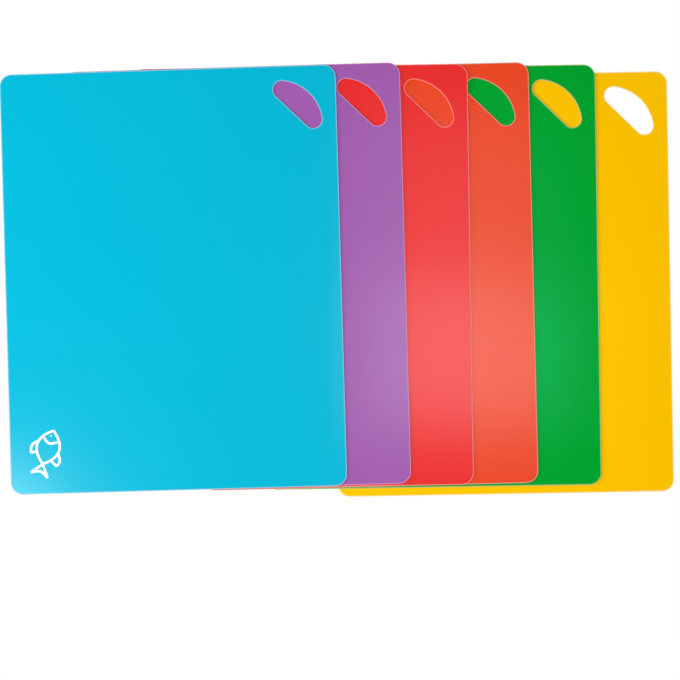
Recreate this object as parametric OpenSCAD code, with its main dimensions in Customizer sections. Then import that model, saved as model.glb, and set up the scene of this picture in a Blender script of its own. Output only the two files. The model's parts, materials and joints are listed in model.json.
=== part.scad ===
/* [Mat] */
// Width of each mat, side to side
mat_w = 304.8; // [240:0.1:360]
// Length of each mat, from the edge beside the grip hole to the near edge
mat_l = 381; // [300:0.5:460]
// Thickness of the plastic sheet
mat_t = 1; // [0.6:0.1:1.6]
// Radius of the mat's four corners
corner_r = 11; // [4:0.5:20]

/* [Grip hole] */
// Length of the hole along its straight side
hole_l = 55; // [42:0.5:64]
// Width of the hole at its middle
hole_w = 22.5; // [18:0.5:26]
// Radius of the hole's two rounded ends
hole_end_r = 8; // [4:0.5:8.5]
// Distance from the middle of the straight side to each edge at that corner
hole_inset = 40.8; // [36:0.2:50]

/* [Fan] */
// Sideways step from each mat to the one laid on it
fan_step = 58.2; // [45:0.2:90]
// Blue mat: how far it lies to the right of and above its even place
blue_shift = [0, 0]; // [-10:0.1:10]
// Blue mat: how many degrees it lies turned
blue_turn = 1.65; // [-3:0.05:3]
// Purple mat: how far it lies to the right of and above its even place
purple_shift = [-0.2, 2.2]; // [-10:0.1:10]
// Purple mat: how many degrees it lies turned
purple_turn = 1.6; // [-3:0.05:3]
// Red mat: how far it lies to the right of and above its even place
red_shift = [0.6, 2.9]; // [-10:0.1:10]
// Red mat: how many degrees it lies turned
red_turn = 0.9; // [-3:0.05:3]
// Orange mat: how far it lies to the right of and above its even place
orange_shift = [-0.6, 3.2]; // [-10:0.1:10]
// Orange mat: how many degrees it lies turned
orange_turn = 1.4; // [-3:0.05:3]
// Green mat: how far it lies to the right of and above its even place
green_shift = [0.1, 2.6]; // [-10:0.1:10]
// Green mat: how many degrees it lies turned
green_turn = 0.9; // [-3:0.05:3]
// Yellow mat: how far it lies to the right of and above its even place
yellow_shift = [7.5, -3.7]; // [-10:0.1:10]
// Yellow mat: how many degrees it lies turned
yellow_turn = 1; // [-3:0.05:3]

/* [Hidden] */
NODES = ["yellow_mat", "green_mat", "orange_mat", "red_mat", "purple_mat", "blue_mat"];
$fn = 96;

// The pile is counted from the yellow mat at the bottom to the blue mat on top
shifts = [yellow_shift, green_shift, orange_shift, red_shift, purple_shift, blue_shift];
turns = [yellow_turn, green_turn, orange_turn, red_turn, purple_turn, blue_turn];
layers = len(NODES);
top_layer = layers - 1;

// Half of the room that a turned mat takes up along X and along Y
function half_x(layer) =
    (mat_w / 2 - corner_r) * cos(turns[layer])
    + (mat_l / 2 - corner_r) * abs(sin(turns[layer])) + corner_r;
function half_y(layer) =
    (mat_l / 2 - corner_r) * cos(turns[layer])
    + (mat_w / 2 - corner_r) * abs(sin(turns[layer])) + corner_r;

// Centre of a mat before the whole fan is brought over the origin
function laid(layer) = [shifts[layer][0] - layer * fan_step, shifts[layer][1]];

// The fan's middle, so that the origin is at the middle of its outer box
all_layers = [0:top_layer];
fan_left = min([for (i = all_layers) laid(i)[0] - half_x(i)]);
fan_right = max([for (i = all_layers) laid(i)[0] + half_x(i)]);
fan_near = min([for (i = all_layers) laid(i)[1] - half_y(i)]);
fan_far = max([for (i = all_layers) laid(i)[1] + half_y(i)]);
fan_middle = [(fan_left + fan_right) / 2, (fan_near + fan_far) / 2];
function centre(layer) = laid(layer) - fan_middle;

// Where the mats above a layer have climbed onto its left edge
steepest_climb = 0.1;
function climbed_x(layer) =
    layer == 0
    ? centre(0)[0] - half_x(0)
    : min(centre(layer)[0] - half_x(layer), climbed_x(layer - 1) - mat_t / steepest_climb);

// The underside of a mat seen from the near edge: its left edge lies on the table,
// it rises by one thickness up to each left edge below it, and then lies level
function underside(layer, reach) = concat(
    [[climbed_x(layer) - reach, 0]],
    [for (under = [layer:-1:0]) [climbed_x(under), (layer - under) * mat_t]],
    [[climbed_x(0) + mat_w + reach, layer * mat_t]]
);

// A sheet of one thickness that lies on the mats below it
module draped_sheet(layer) {
    reach = mat_w;
    low = underside(layer, reach);
    high = [for (i = [len(low) - 1:-1:0]) low[i] + [0, mat_t]];
    translate([0, mat_l, 0])
        rotate([90, 0, 0])
            linear_extrude(2 * mat_l) polygon(concat(low, high));
}

// Outline of a mat about its centre
module mat_outline() {
    square([mat_w - 2 * corner_r, mat_l], center = true);
    square([mat_w, mat_l - 2 * corner_r], center = true);
    for (side = [-1, 1], end = [-1, 1])
        translate([side * (mat_w / 2 - corner_r), end * (mat_l / 2 - corner_r)])
            circle(corner_r);
}

// The grip hole, with the middle of its straight side at the origin: a wide arc
// bulges towards +Y and runs into a round end on each side
module grip_hole() {
    end_x = hole_l / 2 - hole_end_r;
    arc_r = (end_x ^ 2 + (hole_w - hole_end_r) ^ 2 - hole_end_r ^ 2)
        / (2 * (hole_w - 2 * hole_end_r));
    arc_y = hole_w - arc_r;
    slope = (hole_end_r - arc_y) / end_x;
    for (side = [-1, 1])
        translate([side * end_x, hole_end_r]) circle(hole_end_r);
    translate([-end_x, 0]) square([2 * end_x, hole_end_r]);
    intersection() {
        translate([0, arc_y]) circle(arc_r);
        polygon([
            [-end_x, hole_end_r],
            [end_x, hole_end_r],
            [2 * end_x, hole_end_r + end_x * slope],
            [-2 * end_x, hole_end_r + end_x * slope]
        ]);
    }
}

// One mat in its place in the pile
module mat(layer) {
    height = (layers + 1) * mat_t;
    intersection() {
        draped_sheet(layer);
        translate(concat(centre(layer), -mat_t))
            rotate(turns[layer])
                linear_extrude(height + mat_t)
                    difference() {
                        mat_outline();
                        translate([mat_w / 2 - hole_inset, mat_l / 2 - hole_inset])
                            rotate(-45) grip_hole();
                    }
    }
}

module yellow_mat() { color("#f7bc01") mat(0); }
module green_mat() { color("#02a443") mat(1); }
module orange_mat() { color("#ec5a34") mat(2); }
module red_mat() { color("#e83c3e") mat(3); }
module purple_mat() { color("#a062ae") mat(4); }
module blue_mat() { color("#01bad8") mat(5); }

yellow_mat();
green_mat();
orange_mat();
red_mat();
purple_mat();
blue_mat();
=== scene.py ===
import json
import math

import bpy
from mathutils import Matrix, Vector

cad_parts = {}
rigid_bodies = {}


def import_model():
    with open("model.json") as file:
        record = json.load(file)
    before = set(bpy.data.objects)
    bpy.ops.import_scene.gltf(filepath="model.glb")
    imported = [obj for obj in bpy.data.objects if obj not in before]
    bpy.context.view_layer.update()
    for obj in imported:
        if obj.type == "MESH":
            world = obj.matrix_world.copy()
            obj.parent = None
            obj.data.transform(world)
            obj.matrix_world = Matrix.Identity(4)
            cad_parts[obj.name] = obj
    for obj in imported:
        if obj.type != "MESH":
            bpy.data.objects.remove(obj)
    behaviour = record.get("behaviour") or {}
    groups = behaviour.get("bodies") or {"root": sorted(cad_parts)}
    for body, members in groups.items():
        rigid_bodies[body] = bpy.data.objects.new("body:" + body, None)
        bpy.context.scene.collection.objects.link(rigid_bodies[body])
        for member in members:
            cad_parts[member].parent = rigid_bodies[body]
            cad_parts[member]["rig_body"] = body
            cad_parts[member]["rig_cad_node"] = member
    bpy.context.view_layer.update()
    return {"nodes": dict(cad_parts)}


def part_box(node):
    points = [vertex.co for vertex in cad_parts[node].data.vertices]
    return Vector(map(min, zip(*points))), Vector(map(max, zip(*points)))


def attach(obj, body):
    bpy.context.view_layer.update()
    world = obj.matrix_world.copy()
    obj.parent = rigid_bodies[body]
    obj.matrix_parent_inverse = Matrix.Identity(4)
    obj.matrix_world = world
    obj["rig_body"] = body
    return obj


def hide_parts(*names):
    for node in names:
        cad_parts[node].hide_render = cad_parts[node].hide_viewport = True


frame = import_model()

# The mats from the bottom of the pile to the top, with the colours of their plastic
MATS = {
    "yellow_mat": (0.965, 0.530, 0.000),
    "green_mat": (0.000, 0.345, 0.020),
    "orange_mat": (0.790, 0.058, 0.012),
    "red_mat": (0.775, 0.022, 0.022),
    "purple_mat": (0.325, 0.098, 0.380),
    "blue_mat": (0.000, 0.420, 0.595),
}
NAMES = list(MATS)

# Colour of a mat's reflections, where the photograph shows them tinted by the deep dye
white_shine = (1.0, 1.0, 1.0)
SHINES = {
    "yellow_mat": (1.0, 1.0, 0.1),
    "green_mat": (0.1, 1.0, 0.7),
    "blue_mat": (0.75, 1.0, 1.0),
}
sheet_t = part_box("yellow_mat")[1].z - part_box("yellow_mat")[0].z
left_x = [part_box(name)[0].x for name in NAMES]

# A sheet's rim: the rounding of its cut edge, the pale ring beside it on the upper face, and how
# much of the colour under the sheet is painted in there as light let through. The ring's paleness
# is partly the cut's own whitening and partly a painted glow of light through the plastic.
edge_round = 0.00030
edge_round_steps = 3
pale_ring = 0.00070
painted_see_through = 0.2
white_table = (0.90, 0.90, 0.90)

# Cleaning of a carried-over mesh: points this close are one, and faces this flat are one
merge_distance = 0.000002
flat_angle = math.radians(0.01)
# Edges sharper than the first are rims; faces flatter than the second are a sheet's faces
sharp_angle = math.radians(60)
level = math.cos(math.radians(6))

# The table's width, and its gap under the lowest mat
table_size = 12
table_gap = 0.0002

# The camera looks straight down on the table, with the photograph's centre here
photo_centre = Vector((0.0029, -0.0546, 0.0))
photo_width = 0.617
camera_height = 1.5
sensor_w = 36.0


def deselect():
    """Nothing is selected, and object mode is on."""
    if bpy.context.mode != "OBJECT":
        bpy.ops.object.mode_set(mode="OBJECT")
    bpy.ops.object.select_all(action="DESELECT")


def pick(piece):
    """Only this piece is selected and active."""
    deselect()
    piece.select_set(True)
    bpy.context.view_layer.objects.active = piece


def top_z(layer, x):
    """Height of a mat's upper face at x, as it climbs over the left edges below it."""
    climbs = [(left_x[i], (layer - i) * sheet_t) for i in range(layer, -1, -1)]
    if x <= climbs[0][0]:
        return sheet_t
    for (x0, z0), (x1, z1) in zip(climbs, climbs[1:]):
        if x <= x1:
            return sheet_t + z0 + (z1 - z0) * (x - x0) / (x1 - x0)
    return sheet_t + layer * sheet_t


class Socket:
    """A shader socket that takes part in sums."""

    def __init__(self, tree, link):
        self.tree = tree
        self.link = link

    def maths(self, operation, *values):
        return self.tree.node("ShaderNodeMath", {"operation": operation}, values)

    def __add__(self, other):
        return self.maths("ADD", self, other)

    def __mul__(self, other):
        return self.maths("MULTIPLY", self, other)


class Tree:
    """The nodes of one material."""

    def __init__(self, name):
        self.material = bpy.data.materials.new(name)
        self.material.use_nodes = True
        self.nodes = self.material.node_tree.nodes
        self.links = self.material.node_tree.links
        self.shader = self.nodes["Principled BSDF"]

    def plug(self, socket, value):
        if isinstance(value, Socket):
            self.links.new(value.link, socket)
        else:
            socket.default_value = value

    def node(self, kind, settings, values, output=0):
        made = self.nodes.new(kind)
        for key, value in settings.items():
            setattr(made, key, value)
        pairs = values.items() if isinstance(values, dict) else enumerate(values)
        for key, value in pairs:
            self.plug(made.inputs[key], value)
        return Socket(self, made.outputs[output])

    def place(self):
        return self.node("ShaderNodeTexCoord", {}, (), "Object")

    def noise(self, scale, detail):
        settings = {"Vector": self.place(), "Scale": scale, "Detail": detail}
        return self.node("ShaderNodeTexNoise", {}, settings, "Fac")

    def mix(self, share, first, second):
        made = self.nodes.new("ShaderNodeMix")
        made.data_type = "RGBA"
        self.plug(made.inputs["Factor"], share)
        self.plug(made.inputs[6], first)
        self.plug(made.inputs[7], second)
        return Socket(self, made.outputs[2])


def blend_colour(first, second, share):
    """A colour part of the way from the first to the second."""
    return tuple(f + (g - f) * share for f, g in zip(first, second))


def paler(colour, share):
    """A colour mixed with white."""
    return tuple(c + (1 - c) * share for c in colour) + (1.0,)


def plastic(name, colour, shine):
    """Semi-matte dyed sheet with a fine grain and the slightest clouding."""
    tree = Tree(name)
    clouds = tree.noise(9.0, 3.0)
    grain = tree.noise(1800.0, 2.0)
    dimming = 0.93
    dimmed = tuple(c * dimming for c in colour) + (1.0,)
    shade = tree.mix(clouds * 0.5, tuple(colour) + (1.0,), dimmed)
    relief = {"Strength": 0.10, "Distance": 0.00012, "Height": grain}
    bump = tree.node("ShaderNodeBump", {}, relief, "Normal")
    tree.plug(tree.shader.inputs["Base Color"], shade)
    tree.plug(tree.shader.inputs["Roughness"], clouds * 0.04 + 0.15)
    tree.plug(tree.shader.inputs["Normal"], bump)
    tree.shader.inputs["IOR"].default_value = 1.49
    tree.shader.inputs["Specular IOR Level"].default_value = 0.12
    tree.shader.inputs["Specular Tint"].default_value = tuple(shine) + (1.0,)
    return tree.material


def rim_whitening_and_painted_glow(name, colour, under):
    """The thin cut edge and the pale ring beside it: paler partly for the cut's whitening and
    partly as a painted glow, with the colour of what lies under the sheet painted in as light let
    through.
    """
    tree = Tree(name)
    # Painted glow: the sheet's colour blended with the colour under it, standing in for light let
    # through the plastic
    glow = blend_colour(colour, under, painted_see_through)
    grain = tree.noise(600.0, 2.0)
    # Mixed with white: partly the cut's whitening, partly painted glow
    tree.plug(
        tree.shader.inputs["Base Color"],
        tree.mix(grain * 0.6, paler(glow, 0.14), paler(glow, 0.26)),
    )
    tree.plug(tree.shader.inputs["Roughness"], grain * 0.2 + 0.35)
    tree.shader.inputs["Specular IOR Level"].default_value = 0.3
    return tree.material


def ink():
    """White printing ink."""
    tree = Tree("white_ink")
    flecks = tree.noise(900.0, 2.0)
    tree.plug(
        tree.shader.inputs["Base Color"],
        tree.mix(flecks * 0.3, INK_FULL, INK_THIN),
    )
    tree.plug(tree.shader.inputs["Roughness"], flecks * 0.1 + 0.4)
    return tree.material


def make_mat(name, colour):
    """The sheet with rounded rims: the carried-over shape, cleaned and bevelled."""
    source = frame["nodes"][name]
    piece = source.copy()
    piece.data = source.data.copy()
    piece.name = name.replace("_mat", "_sheet")
    piece.parent = None
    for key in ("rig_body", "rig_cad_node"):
        if key in piece:
            del piece[key]
    bpy.context.scene.collection.objects.link(piece)
    pick(piece)
    bpy.ops.object.mode_set(mode="EDIT")
    bpy.ops.mesh.select_mode(type="EDGE")
    bpy.ops.mesh.select_all(action="SELECT")
    bpy.ops.mesh.remove_doubles(threshold=merge_distance)
    bpy.ops.mesh.dissolve_limited(angle_limit=flat_angle)
    bpy.ops.mesh.select_all(action="DESELECT")
    bpy.ops.mesh.edges_select_sharp(sharpness=sharp_angle)
    bpy.ops.mesh.bevel(
        offset=edge_round, segments=edge_round_steps, affect="EDGES", clamp_overlap=True
    )
    bpy.ops.mesh.select_mode(type="FACE")
    bpy.ops.mesh.select_all(action="DESELECT")
    bpy.ops.object.mode_set(mode="OBJECT")
    for face in piece.data.polygons:
        face.select = face.normal.z > level
    bpy.ops.object.mode_set(mode="EDIT")
    bpy.ops.mesh.inset(thickness=pale_ring, use_boundary=True, use_even_offset=True)
    bpy.ops.object.mode_set(mode="OBJECT")
    layer = NAMES.index(name)
    # The colour under the sheet, painted into its rim as light let through
    under = MATS[NAMES[layer - 1]] if layer else white_table
    piece.data.materials.clear()
    piece.data.materials.append(plastic(name + "_plastic", colour, SHINES.get(name, white_shine)))
    # The second material is the rim, with its painted glow
    piece.data.materials.append(rim_whitening_and_painted_glow(name + "_rim_whitening_and_painted_glow", colour, under))
    for face in piece.data.polygons:
        flat = face.select or face.normal.z < -level
        face.material_index = 0 if flat else 1
        face.use_smooth = abs(face.normal.z) <= level
    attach(piece, name)
    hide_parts(name)
    return piece


# White printing ink where it lies full and where it lies thin, half the width of a
# printed stroke, and the film's thickness
INK_FULL = (0.93, 0.97, 0.98, 1.0)
INK_THIN = (0.80, 0.93, 0.96, 1.0)
STROKE = 0.00105
INK_T = 0.00006
MM = 0.001

# The printed fish, drawn in millimetres along its own axis and to the side of it:
# a body of two even arcs, a swallow tail, two fins, a gill and an eye
fish_middle = (-0.2632, -0.1571)
fish_tilt = math.radians(-18)
body_middle, body_reach, body_half_w = 5.5, 16.0, 10.4
BODY_STEPS = [-1.0, -0.6, -0.2, 0.2, 0.6, 1.0]
FISH = [
    [(body_middle + body_reach * t, side * body_half_w * (1 - t * t)) for t in BODY_STEPS]
    for side in (-1, 1)
] + [
    [(-10.5, 0.0), (-21.0, -8.0)],
    [(-21.0, -8.0), (-17.5, 0.0), (-21.0, 8.0)],
    [(-21.0, 8.0), (-10.5, 0.0)],
    [(9.0, -9.9), (3.0, -14.5), (-4.0, -13.5)],
    [(-4.0, -13.5), (-1.0, -8.6)],
    [(3.0, 10.2), (-3.5, 14.0), (-8.5, 12.5)],
    [(-8.5, 12.5), (-5.0, 5.6)],
    [(12.5, -6.6), (9.3, 0.0), (12.5, 6.6)],
    [(16.0, -1.1), (16.0, -0.4)],
]


def stroke(name, points):
    """One line of ink with round ends, drawn through the points."""
    curve = bpy.data.curves.new(name, "CURVE")
    curve.dimensions = "3D"
    line = curve.splines.new("BEZIER")
    line.bezier_points.add(len(points) - 1)
    turn = Matrix.Rotation(fish_tilt, 4, "Z")
    for knot, (along, aside) in zip(line.bezier_points, points):
        knot.co = turn @ Vector((aside * MM, along * MM, 0))
        knot.handle_left_type = "AUTO"
        knot.handle_right_type = "AUTO"
    line.resolution_u = 8
    curve.bevel_depth = STROKE
    curve.bevel_resolution = 3
    curve.use_fill_caps = True
    made = bpy.data.objects.new(name, curve)
    bpy.context.scene.collection.objects.link(made)
    return made


def printed_fish():
    """The fish mark for the blue mat, its strokes joined into one mesh."""
    parts = [stroke("fish_stroke", points) for points in FISH]
    deselect()
    for part in parts:
        part.select_set(True)
    bpy.context.view_layer.objects.active = parts[0]
    bpy.ops.object.convert(target="MESH")
    bpy.ops.object.join()
    mark = bpy.context.view_layer.objects.active
    mark.name = "blue_fish_print"
    return mark


def lay_print(mark, layer, middle):
    """Flattens a mark to a film of ink and lays it on a mat."""
    for vertex in mark.data.vertices:
        x = vertex.co.x + middle[0]
        y = vertex.co.y + middle[1]
        lift = (vertex.co.z / STROKE + 1) / 2 * INK_T
        vertex.co = (x, y, top_z(layer, x) + lift)
    mark.data.materials.clear()
    mark.data.materials.append(ink())
    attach(mark, NAMES[layer])


for name, colour in MATS.items():
    make_mat(name, colour)
lay_print(printed_fish(), NAMES.index("blue_mat"), fish_middle)


def backdrop():
    """A pale table that the camera sees as plain white."""
    deselect()
    bpy.ops.mesh.primitive_plane_add(size=table_size, location=(0, 0, -table_gap))
    table = bpy.context.active_object
    table.name = "table"
    tree = Tree("white_table")
    tree.shader.inputs["Base Color"].default_value = (0.92, 0.92, 0.92, 1.0)
    tree.shader.inputs["Roughness"].default_value = 0.9
    glow = tree.nodes.new("ShaderNodeEmission")
    glow.inputs["Strength"].default_value = 1.0
    path = tree.nodes.new("ShaderNodeLightPath")
    seen = (
        Socket(tree, path.outputs["Is Camera Ray"])
        + Socket(tree, path.outputs["Is Glossy Ray"])
        + Socket(tree, path.outputs["Is Transmission Ray"])
    )
    mixed = tree.nodes.new("ShaderNodeMixShader")
    tree.plug(mixed.inputs[0], seen)
    tree.links.new(tree.shader.outputs[0], mixed.inputs[1])
    tree.links.new(glow.outputs[0], mixed.inputs[2])
    tree.links.new(mixed.outputs[0], tree.nodes["Material Output"].inputs["Surface"])
    table.data.materials.append(tree.material)


def softbox(name, place, aim, size, power):
    """A large soft lamp at a place, turned to its aim."""
    lamp = bpy.data.lights.new(name, "AREA")
    lamp.shape = "RECTANGLE"
    lamp.size = size[0]
    lamp.size_y = size[1]
    lamp.energy = power
    made = bpy.data.objects.new(name, lamp)
    made.location = place
    made.rotation_euler = (Vector(aim) - Vector(place)).to_track_quat("-Z", "Y").to_euler()
    bpy.context.scene.collection.objects.link(made)


def light_room():
    """White room light and four soft lamps: two overhead, one low and one near left."""
    world = bpy.data.worlds.new("room")
    bpy.context.scene.world = world
    world.use_nodes = True
    sky = world.node_tree.nodes["Background"]
    sky.inputs["Color"].default_value = (1, 1, 1, 1)
    sky.inputs["Strength"].default_value = 0.34
    softbox("band", (0.235, -0.08, 1.5), (0.235, -0.08, 0.0), (0.37, 0.26), 4.2)
    softbox("far_band", (0.235, 0.20, 1.5), (0.235, 0.20, 0.0), (0.37, 0.30), 1.3)
    softbox("low_left", (-1.6, 0.0, 0.32), (0.0, 0.0, 0.0), (0.25, 1.4), 28.0)
    softbox("near_left", (-0.70, -0.48, 1.5), (-0.35, -0.24, 0.0), (0.26, 0.26), 13.0)


def photo_camera():
    """The camera above the table, as the photograph was taken."""
    data = bpy.data.cameras.new("photo_camera")
    data.sensor_width = sensor_w
    data.lens = sensor_w * camera_height / photo_width
    made = bpy.data.objects.new("photo_camera", data)
    made.location = photo_centre + Vector((0, 0, camera_height))
    bpy.context.scene.collection.objects.link(made)
    bpy.context.scene.camera = made


backdrop()
light_room()
photo_camera()
bpy.context.scene.view_settings.view_transform = "Standard"
